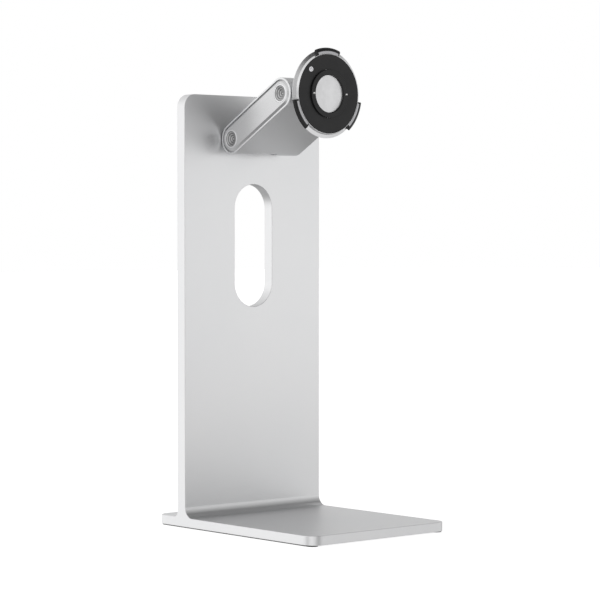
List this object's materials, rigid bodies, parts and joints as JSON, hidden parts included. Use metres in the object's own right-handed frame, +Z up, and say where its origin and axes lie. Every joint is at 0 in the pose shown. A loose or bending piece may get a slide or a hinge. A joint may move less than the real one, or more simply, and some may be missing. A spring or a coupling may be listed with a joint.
{
  "type": "display stand",
  "caption": "Counterbalanced desktop display stand with a slotted aluminium upright, a short pivoting arm and a round quick-release head.",
  "frame": {"origin": "middle of the base, on the surface it stands on", "axes": "+Z up, +Y to the back, +X to the right of a user facing the head, which faces -Y"},
  "size_m": [0.187, 0.25, 0.499],
  "materials": {
    "frame_aluminium": "fine bead-blasted, clear anodised",
    "foot_rubber": "matte moulded rubber",
    "bracket_steel": "machined steel",
    "screw_steel": "blackened steel",
    "axle_steel": "ground steel",
    "bearing_plate_alloy": "dark machined aluminium",
    "bush_bronze": "sintered bronze",
    "cap_aluminium": "fine bead-blasted, clear anodised",
    "button_aluminium": "turned dish, satin",
    "spring_steel": "oiled spring steel",
    "friction_polymer": "low-wear polymer",
    "pin_steel": "polished stainless steel",
    "arm_aluminium": "fine bead-blasted, clear anodised",
    "slider_black": "matte black",
    "rotor_aluminium": "satin turned, clear anodised",
    "magnet_nickel": "nickel plated",
    "face_black": "satin black anodised",
    "boss_black": "satin black anodised",
    "disc_satin": "pale satin",
    "lug_black": "satin black",
    "wear_strip_steel": "polished stainless steel"
  },
  "bodies": {
    "stand": {"stand_frame": "frame_aluminium", "foot_strip_left": "foot_rubber", "foot_strip_right": "foot_rubber", "wall_bracket": "bracket_steel", "bracket_screws": "screw_steel", "lower_axle_left": "axle_steel", "lower_axle_right": "axle_steel", "lower_circlip_left": "screw_steel", "lower_circlip_right": "screw_steel", "lower_crank_pin": "axle_steel"},
    "arm": {"arm_shell": "arm_aluminium", "bearing_plate_left": "bearing_plate_alloy", "bearing_plate_right": "bearing_plate_alloy", "side_cap_left": "cap_aluminium", "side_cap_right": "cap_aluminium", "lower_pivot_button_left": "button_aluminium", "lower_pivot_button_right": "button_aluminium", "upper_pivot_button_left": "button_aluminium", "upper_pivot_button_right": "button_aluminium", "lower_bush_left": "bush_bronze", "lower_bush_right": "bush_bronze", "upper_bush_left": "bush_bronze", "upper_bush_right": "bush_bronze", "tie_rods": "screw_steel", "tie_rod_nuts": "screw_steel", "torsion_spring_left": "spring_steel", "torsion_spring_right": "spring_steel"},
    "link": {"level_link": "bracket_steel"},
    "level_hub": {"level_hub": "bracket_steel", "upper_axle_left": "axle_steel", "upper_axle_right": "axle_steel", "upper_circlip_left": "screw_steel", "upper_circlip_right": "screw_steel", "upper_crank_pin": "axle_steel"},
    "head": {"tilt_bracket": "bearing_plate_alloy", "friction_washer_left": "friction_polymer", "friction_washer_right": "friction_polymer", "thrust_ring": "friction_polymer", "keeper_plate": "bearing_plate_alloy", "keeper_screws": "screw_steel"},
    "lock_slider": {"lock_slider": "slider_black", "slide_plate": "bearing_plate_alloy"},
    "rotor": {"rotor_dish": "rotor_aluminium", "ring_magnets": "magnet_nickel", "face_plate": "face_black", "boss_ring": "boss_black", "centre_disc": "disc_satin", "bayonet_lug_top": "lug_black", "bayonet_lug_left": "lug_black", "bayonet_lug_right": "lug_black", "wear_strip_top": "wear_strip_steel", "wear_strip_left": "wear_strip_steel", "wear_strip_right": "wear_strip_steel", "dowel_pin_left": "pin_steel", "dowel_pin_right": "pin_steel", "lock_spring": "spring_steel"},
    "lock_pin": {"lock_pin": "pin_steel"}
  },
  "joints": [
    {"name": "arm_lift", "type": "hinge", "parent": "stand", "child": "arm", "pos_m": [0, 0.059, 0.4073], "axis": [1, 0, 0], "range_deg": [0, 86.3]},
    {"name": "link_swing", "type": "hinge", "parent": "stand", "child": "link", "pos_m": [0, 0.05698, 0.41556], "axis": [1, 0, 0], "range_deg": [0, 86.3]},
    {"name": "hub_level", "type": "hinge", "parent": "arm", "child": "level_hub", "pos_m": [0, -0.01967, 0.45163], "axis": [-1, 0, 0], "range_deg": [0, 86.3]},
    {"name": "head_tilt", "type": "hinge", "parent": "level_hub", "child": "head", "pos_m": [0, -0.01967, 0.45163], "axis": [-1, 0, 0], "range_deg": [-5, 25]},
    {"name": "display_turn", "type": "hinge", "parent": "head", "child": "rotor", "pos_m": [0, -0.04447, 0.45163], "axis": [0, -1, 0], "range_deg": [0, 90]},
    {"name": "lock_pin_press", "type": "slide", "parent": "rotor", "child": "lock_pin", "axis": [0, 1, 0], "range_m": [0, 0.0012], "stiffness_N_per_m": 400, "springref_m": -0.0005, "deforming": ["lock_spring"]},
    {"name": "rotation_lock", "type": "slide", "parent": "head", "child": "lock_slider", "axis": [1, 0, 0], "range_m": [0, 0.006]}
  ],
  "couplings": [
    {"joint": "link_swing", "follows": "arm_lift", "ratio": 1},
    {"joint": "hub_level", "follows": "arm_lift", "ratio": 1}
  ]
}
